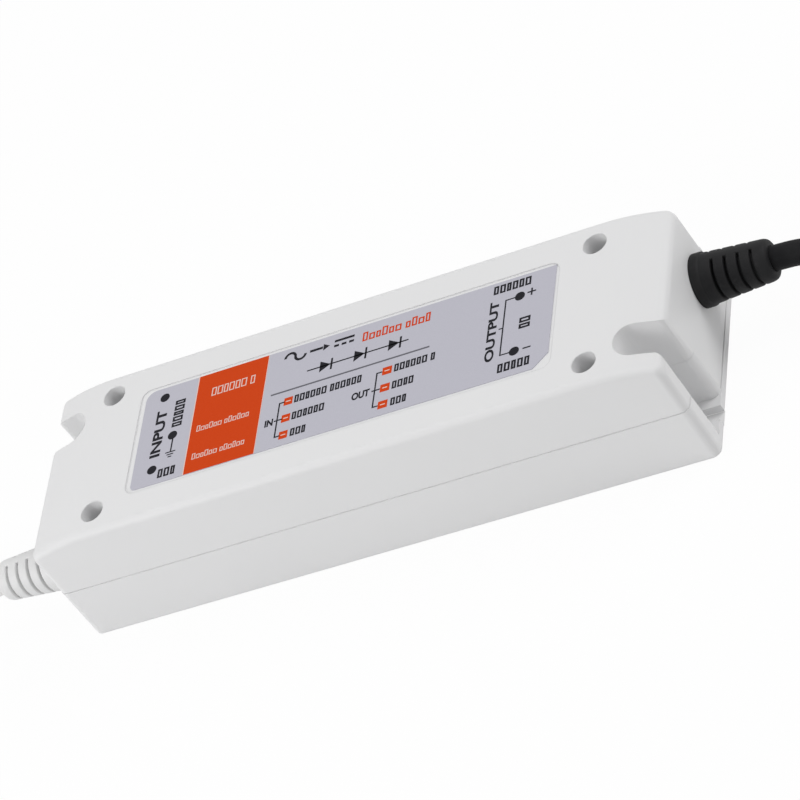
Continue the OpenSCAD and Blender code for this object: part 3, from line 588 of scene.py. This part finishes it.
def layer_height(layer):
    """A second ink lies on the first."""
    return ink_level + layer * LAYER_RISE


def bar(work, left, right, low, high, layer=0):
    z = layer_height(layer) + INK_THICKNESS / 2
    shift = Matrix.Translation(((left + right) / 2, (low + high) / 2, z))
    stretch = Matrix.Diagonal((right - left, high - low, INK_THICKNESS, 1))
    bmesh.ops.create_cube(work, size=1.0, matrix=shift @ stretch)


def dot(work, x, y, radius, sides=32, turn=0.0):
    """A disc, or with three sides an arrow's head."""
    z = layer_height(0) + INK_THICKNESS / 2
    shift = Matrix.Translation((x, y, z)) @ Matrix.Rotation(math.radians(turn), 4, "Z")
    bmesh.ops.create_cone(
        work, cap_ends=True, segments=sides, radius1=radius, radius2=radius,
        depth=INK_THICKNESS, matrix=shift,
    )


def arc(work, x, y, radius, width, start, sweep):
    """Part of a ring: an edge across the stroke is spun, and the strip gets its thickness."""
    toward = Vector((math.cos(math.radians(start)), math.sin(math.radians(start)), 0))
    centre = Vector((x, y, layer_height(0)))
    ends = [work.verts.new(centre + toward * (radius + s * width / 2)) for s in (-1, 1)]
    stroke = work.edges.new(ends)
    before = set(work.faces)
    bmesh.ops.spin(
        work, geom=ends + [stroke], cent=centre, axis=(0, 0, 1),
        angle=math.radians(sweep), steps=18,
    )
    strip = [face for face in work.faces if face not in before]
    thick = bmesh.ops.extrude_face_region(work, geom=strip, use_keep_orig=True)
    raised = [item for item in thick["geom"] if isinstance(item, bmesh.types.BMVert)]
    bmesh.ops.translate(work, verts=raised, vec=(0, 0, INK_THICKNESS))


print("ink level", round(ink_level, 3), "mm")


# %% Small print and lettering
BOX_WIDTHS = (0.50, 0.56, 0.44, 0.54, 0.48, 0.58, 0.46)
LOW_BOXES = (1.0, 0.72, 0.72, 1.0, 0.72, 0.72, 0.72, 1.0, 0.72)
WORD_LENGTH = 6
LETTER_GAP = 0.13
WORD_GAP = 0.42
HAIR = 0.004


def small_print(work, left, right, base, height, upright=False, layer=0, low=False, weight=0.19):
    """A row of hollow letter-high boxes; an upright row reads from the front to the back.

    A hair's gap keeps the corners of neighbouring strokes from being welded together.
    """
    def stroke(start, end, bottom, top):
        if upright:
            bar(work, base - top, base - bottom, start, end, layer)
        else:
            bar(work, start, end, base + bottom, base + top, layer)

    line = weight * height
    along = left
    count = 0
    while along + BOX_WIDTHS[count % len(BOX_WIDTHS)] * height < right:
        wide = BOX_WIDTHS[count % len(BOX_WIDTHS)] * height
        tall = (LOW_BOXES[count % len(LOW_BOXES)] if low else 1.0) * height
        stroke(along, along + line, 0, tall)
        stroke(along + wide - line, along + wide, 0, tall)
        inner = (along + line + HAIR, along + wide - line - HAIR)
        stroke(*inner, HAIR, line)
        stroke(*inner, tall - line, tall - HAIR)
        count += 1
        along += wide + (LETTER_GAP if count % WORD_LENGTH else WORD_GAP) * height


def lettering(work, words, left, right, low, high, weight, upright=False):
    """A built-in letter shape made into a mesh, then fitted to its measured place."""
    text = bpy.data.curves.new("letters", "FONT")
    text.body = words
    text.offset = weight
    text.extrude = 0.5
    carrier = bpy.data.objects.new("letters", text)
    bpy.context.scene.collection.objects.link(carrier)
    bpy.context.view_layer.update()
    seen = carrier.evaluated_get(bpy.context.evaluated_depsgraph_get())
    mesh = bpy.data.meshes.new_from_object(seen)
    if upright:
        mesh.transform(Matrix.Rotation(math.pi / 2, 4, "Z"))
    corners = [vertex.co for vertex in mesh.vertices]
    lowest = Vector([min(corner[axis] for corner in corners) for axis in range(3)])
    highest = Vector([max(corner[axis] for corner in corners) for axis in range(3)])
    size = highest - lowest
    stretch = Matrix.Diagonal((
        (right - left) / size.x, (high - low) / size.y, INK_THICKNESS / size.z, 1
    ))
    shift = Matrix.Translation((left, low, layer_height(0)))
    mesh.transform(shift @ stretch @ Matrix.Translation(-lowest))
    work.from_mesh(mesh)
    bpy.data.objects.remove(carrier)
    bpy.data.curves.remove(text)
    bpy.data.meshes.remove(mesh)


def printed(name, work, finish):
    """Close an ink layer: millimetres become metres and the mesh becomes a piece."""
    bmesh.ops.remove_doubles(work, verts=work.verts, dist=1e-5)
    bmesh.ops.recalc_face_normals(work, faces=work.faces)
    bmesh.ops.scale(work, verts=work.verts, vec=(MM, MM, MM))
    piece = make_piece(name, work, finish)


print("box widths:", len(BOX_WIDTHS))

# %% [markdown]
# All places in the print are in millimetres from the middle of the housing: left, right, front and
# back for a bar and for the box that a word fills, and left, right, base line and letter height for
# small print. Where strokes meet in a corner, one is a hair longer, so the corners aren't welded.

# %% Black print, input side
LINE = 0.18
ROWS = (-1.9, -7.6, -13.2)
TERMINAL = 1.4
black = bmesh.new()
for x, y in [(-53.8, 13.1), (-53.8, -11.5), (-49.2, -1.3)]:
    dot(black, x, y, TERMINAL)
lettering(black, "INPUT", -55.3, -52.2, -7.3, 8.7, upright=True, weight=0.032)
small_print(black, 1.5, 11.5, -47.0, 3.0, upright=True)
small_print(black, -51.7, -46.1, -15.0, 2.9)
bar(black, -49.12, -48.72, -6.8, -2.6)
for level, half in [(-7.0, 1.5), (-7.8, 1.0), (-8.6, 0.55)]:
    bar(black, -48.95 - half, -48.95 + half, level - LINE, level + LINE)
print("input side drawn")

# %% Black print, middle
arc(black, -16.0, 13.298, radius=1.5, width=0.75, start=180.0, sweep=-180.0)
arc(black, -13.0, 13.302, radius=1.5, width=0.75, start=180.0, sweep=180.0)
bar(black, -10.2, -6.4, 12.9, 13.7)
dot(black, -5.6, 13.3, 1.25, sides=3, turn=-90.0)
bar(black, -3.0, 2.8, 13.75, 14.5)
for step in range(3):
    bar(black, -3.0 + 2.2 * step, -1.6 + 2.2 * step, 12.1, 12.85)
bar(black, -10.2, 19.3, 6.45, 6.85)
for step in range(3):
    middle = -5.4 + 10.0 * step
    dot(black, middle, 6.65, 2.1, sides=3, turn=-90.0)
    bar(black, middle + 2.1, middle + 2.65, 4.75, 8.55)
lettering(black, "IN", -20.7, -18.3, -8.8, -6.5, weight=0.04)
lettering(black, "OUT", 4.6, 9.75, -8.75, -6.3, weight=0.04)
brackets = [
    (-17.1, [(-12.75, 8.9), (-12.75, -3.2), (-12.5, -6.7)]),
    (11.25, [(16.2, 28.3), (16.2, 22.4), (16.4, 21.8)]),
]
for bracket, words in brackets:
    bar(black, bracket - 0.2, bracket + 0.2, -13.42, -1.68)
    bar(black, bracket - 0.9, bracket - 0.2, -7.8, -7.4)
    for level, (left, right) in zip(ROWS, words):
        bar(black, bracket + 0.2, bracket + 1.5, level - 0.2, level + 0.2)
        small_print(black, left, right, level - 1.2, 2.5)
print("middle drawn")

# %% Black print, output side
lettering(black, "OUTPUT", 42.3, 44.85, -9.8, 10.3, upright=True, weight=0.032)
bar(black, 46.5, 46.88, -8.95, 9.8)
bar(black, 45.5, 46.5, 0.12, 0.48)
for level in (9.6, -8.75):
    bar(black, 46.88, 49.25, level - LINE, level + LINE)
    dot(black, 50.6, level, TERMINAL)
bar(black, 52.7, 53.67, 9.78, 10.22)
bar(black, 54.13, 55.1, 9.78, 10.22)
bar(black, 53.67, 54.13, 8.8, 11.2)
bar(black, 53.0, 55.2, -8.97, -8.53)
small_print(black, -1.7, 3.3, 54.3, 3.1, upright=True)
small_print(black, 42.9, 55.2, 12.7, 2.8)
small_print(black, 46.4, 56.7, -14.6, 2.9)
printed("print_black", black, ink_black)

# %% Orange, grey and pale print
BAND_LEFT, BAND_RIGHT = -43.6, -22.75
across_label = (label_low.y / MM, label_high.y / MM)
orange = bmesh.new()
bar(orange, BAND_LEFT, BAND_RIGHT, *across_label)
small_print(orange, 5.4, 25.3, 11.0, 3.0, low=True, weight=0.15)
for level in ROWS:
    bar(orange, -15.8, -13.3, level - 1.25, level + 1.25)
    bar(orange, 12.8, 15.5, level - 1.25, level + 1.25)
printed("print_orange", orange, ink_orange)
grey = bmesh.new()
bar(grey, -20.25, 25.8, 1.65, 2.15)
printed("print_grey", grey, ink_grey)
pale = bmesh.new()
small_print(pale, -39.0, -25.6, 8.4, 2.8, layer=1, weight=0.11)
for base in (-2.8, -12.2):
    small_print(pale, -41.8, -24.2, base, 2.0, layer=1, low=True, weight=0.12)
bar(pale, -43.9, BAND_LEFT, *across_label)
bar(pale, BAND_RIGHT, -22.57, *across_label)
for level in ROWS:
    for x in (-14.55, 14.15):
        bar(pale, x - 0.7, x + 0.7, level - 0.16, level + 0.16, layer=1)
printed("print_pale", pale, ink_pale)

# %% [markdown]
# ## Cover screws
# Four pan-head screws hold the halves together at the bottom of the deep wells. A head is a short
# turned form with a cross recess; the recess is a plus of faces cut out of its flat top by eight
# planes and pressed in. The shank is a turned zigzag, which reads as a coarse thread for plastic.

# %% Steel for small fasteners
screw_steel, tree = new_finish("screw_steel")
scuff = tree.noise(1400.0, detail=3.0, roughness=0.6)
steel = tree.fade(scuff, (0.50, 0.51, 0.53), (0.66, 0.66, 0.66))
principled(
    tree, Base_Color=steel, Metallic=1.0, Roughness=0.26 + 0.22 * scuff,
    Normal=tree.bump(scuff, distance=0.00001, strength=0.5),
)
print("steel:", screw_steel.name)

# %% One screw, turned
HEAD_RADIUS = 2.7
HEAD_HEIGHT = 2.2
CREST_RADIUS = 1.25
ROOT_RADIUS = 0.95
THREAD_PITCH = 1.0
screw_low, screw_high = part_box("cover_screws")
screw = bmesh.new()
seat = screw_high.z / MM - HEAD_HEIGHT
tip = screw_low.z / MM
turned_line = [(0.0, tip), (0.45, tip), (ROOT_RADIUS, tip + 1.2)]
level = tip + 1.5
while level < seat - 1.2:
    turned_line += [
        (CREST_RADIUS, level), (CREST_RADIUS, level + 0.15), (ROOT_RADIUS, level + 0.6),
    ]
    level += THREAD_PITCH
turned_line += [
    (1.2, seat), (HEAD_RADIUS - 0.1, seat), (HEAD_RADIUS, seat + 0.2),
    (HEAD_RADIUS, seat + 1.1), (HEAD_RADIUS - 0.35, seat + 1.75),
    (HEAD_RADIUS - 0.9, seat + HEAD_HEIGHT), (0.0, seat + HEAD_HEIGHT),
]
line = [screw.verts.new((radius, 0, z)) for radius, z in turned_line]
edges = [screw.edges.new(pair) for pair in zip(line, line[1:])]
bmesh.ops.spin(
    screw, geom=line + edges, cent=(0, 0, 0), axis=(0, 0, 1), angle=math.tau, steps=28,
    use_merge=True,
)
bmesh.ops.remove_doubles(screw, verts=screw.verts, dist=1e-4)
bmesh.ops.recalc_face_normals(screw, faces=screw.faces)
print("turned screw:", len(screw.faces), "faces")

# %% Cross recess in the head
ARM_WIDTH = 0.42
ARM_REACH = 1.35
RECESS_DEPTH = 1.1


def head_top():
    """The faces of the head's flat top."""
    return [
        face for face in screw.faces
        if face.calc_center_median().z > seat + HEAD_HEIGHT - 0.01
    ]


def in_cross(face):
    middle = face.calc_center_median()
    narrow, wide = sorted((abs(middle.x), abs(middle.y)))
    return wide < ARM_REACH and narrow < ARM_WIDTH


bmesh.ops.dissolve_faces(screw, faces=head_top())
for normal in (Vector((1, 0, 0)), Vector((0, 1, 0))):
    for distance in (-ARM_REACH, -ARM_WIDTH, ARM_WIDTH, ARM_REACH):
        ring = head_top()
        around = {edge for face in ring for edge in face.edges}
        corners = {vertex for face in ring for vertex in face.verts}
        bmesh.ops.bisect_plane(
            screw, geom=ring + list(around) + list(corners), dist=1e-5,
            plane_co=normal * distance, plane_no=normal,
        )
cross = [face for face in head_top() if in_cross(face)]
bmesh.ops.inset_region(
    screw, faces=cross, thickness=0.06, depth=-RECESS_DEPTH, use_even_offset=True
)
print("cross faces:", len(cross))

# %% Four screws, each stopped at another angle
SCREW_X = 70.6
SCREW_Y = 19.7
one_screw = bpy.data.meshes.new("one_screw")
screw.to_mesh(one_screw)
screw.free()
four = bmesh.new()
for x in (-SCREW_X, SCREW_X):
    for y in (-SCREW_Y, SCREW_Y):
        turn = Matrix.Rotation(math.radians(17.0 * x + 5.0 * y), 4, "Z")
        copy = one_screw.copy()
        copy.transform(Matrix.Translation((x, y, 0)) @ turn)
        four.from_mesh(copy)
        bpy.data.meshes.remove(copy)
bpy.data.meshes.remove(one_screw)
bmesh.ops.scale(four, verts=four.verts, vec=(MM, MM, MM))
screws = make_piece("turned_screws", four, screw_steel, crisp_angle=35.0)
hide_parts("cover_screws")

# %% [markdown]
# ## What is inside
# The board and its parts are seen only when the cover is off, so their solids stay as they are and
# get finishes. A board is green lacquer over copper tracks, cans wear a printed sleeve, windings
# are rows of enamelled wire, and ferrite is a dark, dull ceramic. Each is one short recipe.

# %% Lacquered board with tracks
board_green, tree = new_finish("board_green")
cells = tree.node(
    "ShaderNodeTexBrick", {"offset": 0.37, "squash": 1.6},
    {"Vector": tree.place(), "Scale": 95.0, "Mortar Size": 0.035, "Mortar Smooth": 0.2,
     "Brick Width": 0.9, "Row Height": 0.35, "Bias": 0.0},
    output="Fac",
)
lacquer = tree.fade(tree.noise(160.0), (0.012, 0.085, 0.030), (0.018, 0.120, 0.040))
tracked = tree.fade(cells, (0.035, 0.19, 0.06), lacquer)
principled(
    tree, Base_Color=tracked, Roughness=0.28 + 0.14 * tree.noise(800.0),
    Normal=tree.bump(cells, distance=0.00003),
)
print("board:", board_green.name)


# %% Recipes for the components
def speckled(name, dark, light, scale, gloss, metallic=0.0):
    """Two tones in a fine noise: lacquer, ceramic, moulded epoxy or bare metal."""
    material, tree = new_finish(name)
    grain = tree.noise(scale, detail=4.0, roughness=0.62)
    tone = tree.fade(grain, dark, light)
    principled(
        tree, Base_Color=tone, Metallic=metallic, Roughness=gloss + 0.2 * grain,
        Normal=tree.bump(grain, distance=0.00001),
    )
    return material


def wound(name, dark, light, metallic, turns):
    """Turns of wire or tape: bands that alternate in tone and stand proud."""
    material, tree = new_finish(name)
    bands = tree.node(
        "ShaderNodeTexWave", {"bands_direction": "X"},
        {"Vector": tree.place(), "Scale": turns, "Distortion": 0.4, "Detail": 1.0},
    )
    tone = tree.fade(bands, dark, light)
    principled(
        tree, Base_Color=tone, Metallic=metallic, Roughness=0.30 + 0.2 * (1 - bands),
        Normal=tree.bump(bands, distance=0.0002),
    )
    return material


inside = {
    "glass_clear": speckled("glass_clear", (0.55, 0.60, 0.60), (0.70, 0.74, 0.73), 300.0, 0.08),
    "disc_dark": speckled("disc_dark", (0.018, 0.030, 0.022), (0.045, 0.06, 0.05), 900.0, 0.45),
    "disc_blue": speckled("disc_blue", (0.03, 0.13, 0.42), (0.05, 0.20, 0.52), 900.0, 0.30),
    "box_yellow": speckled("box_yellow", (0.62, 0.42, 0.03), (0.74, 0.53, 0.06), 1200.0, 0.35),
    "ferrite": speckled("ferrite", (0.022, 0.022, 0.024), (0.060, 0.058, 0.056), 1600.0, 0.55),
    "ring_green": speckled("ring_green", (0.02, 0.16, 0.06), (0.04, 0.22, 0.09), 900.0, 0.28),
    "ring_yellow": speckled("ring_yellow", (0.70, 0.55, 0.08), (0.80, 0.66, 0.16), 900.0, 0.3),
    "copper": wound("copper", (0.42, 0.13, 0.05), (0.80, 0.36, 0.18), 0.9, 240.0),
    "epoxy_black": speckled("epoxy_black", (0.010, 0.010, 0.011), (0.03, 0.03, 0.03), 2200.0, 0.4),
    "can_sleeve": speckled("can_sleeve", (0.008, 0.012, 0.035), (0.02, 0.03, 0.08), 500.0, 0.22),
    "heatsink_metal": speckled(
        "heatsink_metal", (0.55, 0.56, 0.57), (0.74, 0.74, 0.75), 700.0, 0.28, 1.0
    ),
    "coil_tape": wound("coil_tape", (0.66, 0.50, 0.10), (0.80, 0.66, 0.20), 0.0, 60.0),
    "pad_grey": speckled("pad_grey", (0.36, 0.38, 0.42), (0.48, 0.50, 0.53), 1500.0, 0.5),
    "board_green": board_green,
    "core_brown": core_brown,
    "core_blue": core_blue,
    "screw_steel": screw_steel,
}
print("inside finishes:", len(inside))

# %% Give each inner solid its finish
slot_of = {
    "circuit_board": "board_green", "input_leads": "core_blue", "output_leads": "core_brown",
    "fuse": "glass_clear", "inrush_thermistor": "disc_dark", "filter_capacitor": "box_yellow",
    "choke_core": "ring_green", "choke_windings": "copper", "bridge_rectifier": "epoxy_black",
    "bulk_capacitors": "can_sleeve", "primary_heatsink": "heatsink_metal",
    "switching_transistor": "epoxy_black", "transformer_core": "ferrite",
    "transformer_bobbin": "epoxy_black", "transformer_winding": "coil_tape",
    "controller_chip": "epoxy_black", "optocoupler": "epoxy_black",
    "safety_capacitor": "disc_blue", "secondary_heatsink": "heatsink_metal",
    "output_rectifier": "epoxy_black", "thermal_pads": "pad_grey",
    "heatsink_screws": "screw_steel", "inductor_core": "ring_yellow",
    "inductor_winding": "copper", "output_capacitors": "can_sleeve",
}
for node, slot in slot_of.items():
    nodes[node].data.materials.clear()
    nodes[node].data.materials.append(inside[slot])
print("inner solids dressed:", len(slot_of))

# %% [markdown]
# ## Floor and light
# The picture is a cut-out on white in flat studio light: the top is brightest, the front almost as
# bright, and the output end greyer. A white floor that only cameras and reflections see as white
# keeps the background clean, and a small share of plain paint leaves a trace of shadow. Through the
# open foot slot most of the floor's glow is taken away, which is painted shade: there the floor
# shows mostly its paint and the real shadow on it, because a slot that glows would look torn.
# Three lamps do the rest: a large one high beyond the output end, a weak one overhead and one at
# the front left. A single lamp would leave the front long side grey.

# %% White floor
FLOOR_LEVEL = -0.3 * MM
FLOOR_GLOW = 0.96
# Under the foot slot the floor loses most of its glow: a patch of painted shade, with the real
# shadow showing in the paint.
FOOT_SLOT_PAINTED_SHADE = 0.9
FOOT_SLOT_X = (0.078, 0.0905)
FOOT_SLOT_Y = (-0.0182, -0.0134)
floor_mesh = bpy.data.meshes.new("floor")
work = bmesh.new()
bmesh.ops.create_grid(work, x_segments=1, y_segments=1, size=4.0)
bmesh.ops.translate(work, verts=work.verts, vec=(0, 0, FLOOR_LEVEL))
work.to_mesh(floor_mesh)
work.free()
floor = bpy.data.objects.new("floor", floor_mesh)
bpy.context.scene.collection.objects.link(floor)


def seen_directly(tree):
    """One for camera, mirror and glass rays."""
    path = tree.node("ShaderNodeLightPath")
    outputs = path.socket.node.outputs
    names = ("Is Camera Ray", "Is Glossy Ray", "Is Transmission Ray")
    rays = [Wire(tree, outputs[name]) for name in names]
    return tree.node("ShaderNodeClamp", None, {"Value": rays[0] + rays[1] + rays[2]})


floor_white, tree = new_finish("floor_white")
paint = tree.node("ShaderNodeBsdfDiffuse", None, {"Color": (0.86, 0.86, 0.86, 1)})
spot = tree.node("ShaderNodeSeparateXYZ", None, {"Vector": tree.place()}).socket.node.outputs
along, across = Wire(tree, spot["X"]), Wire(tree, spot["Y"])
# Painted shade: inside the foot slot's outline the floor's glow is taken away.
in_length = (along > FOOT_SLOT_X[0]) * (along < FOOT_SLOT_X[1])
painted_shade_patch = in_length * (across > FOOT_SLOT_Y[0]) * (across < FOOT_SLOT_Y[1])
glow = tree.node("ShaderNodeEmission", None, {"Color": (1, 1, 1, 1), "Strength": 1.0})
share = seen_directly(tree) * (FLOOR_GLOW - FOOT_SLOT_PAINTED_SHADE * painted_shade_patch)
surface = tree.node("ShaderNodeMixShader", None, {0: share, 1: paint, 2: glow})
tree.node("ShaderNodeOutputMaterial", None, {"Surface": surface})
floor_mesh.materials.append(floor_white)
print("floor laid")

# %% World and lamps
world = bpy.data.worlds.new("studio")
bpy.context.scene.world = world
world.use_nodes = True
tree = Tree(world.node_tree)
seen = tree.node("ShaderNodeBackground", None, {"Color": (1, 1, 1, 1), "Strength": 1.0})
fill = tree.node("ShaderNodeBackground", None, {"Color": (1, 1, 1, 1), "Strength": 0.45})
sky = tree.node("ShaderNodeMixShader", None, {0: seen_directly(tree), 1: fill, 2: seen})
tree.node("ShaderNodeOutputWorld", None, {"Surface": sky})


AIM = Vector((0, 0, 0.02))


def soft_lamp(name, place, size, power):
    lamp = bpy.data.lights.new(name, "AREA")
    lamp.shape = "DISK"
    lamp.size = size
    lamp.energy = power
    holder = bpy.data.objects.new(name, lamp)
    bpy.context.scene.collection.objects.link(holder)
    direction = AIM - Vector(place)
    holder.matrix_world = (
        Matrix.Translation(place) @ direction.to_track_quat("-Z", "Y").to_matrix().to_4x4()
    )
    print(name, round(direction.length, 2), "m away")


soft_lamp("key_lamp", (1.00, 0.62, 0.96), size=0.9, power=8.1)
soft_lamp("top_lamp", (-0.30, 0.10, 1.40), size=0.6, power=2.2)
soft_lamp("front_lamp", (-0.60, -0.65, 0.50), size=0.5, power=3.8)
bpy.context.scene.view_settings.view_transform = "Standard"
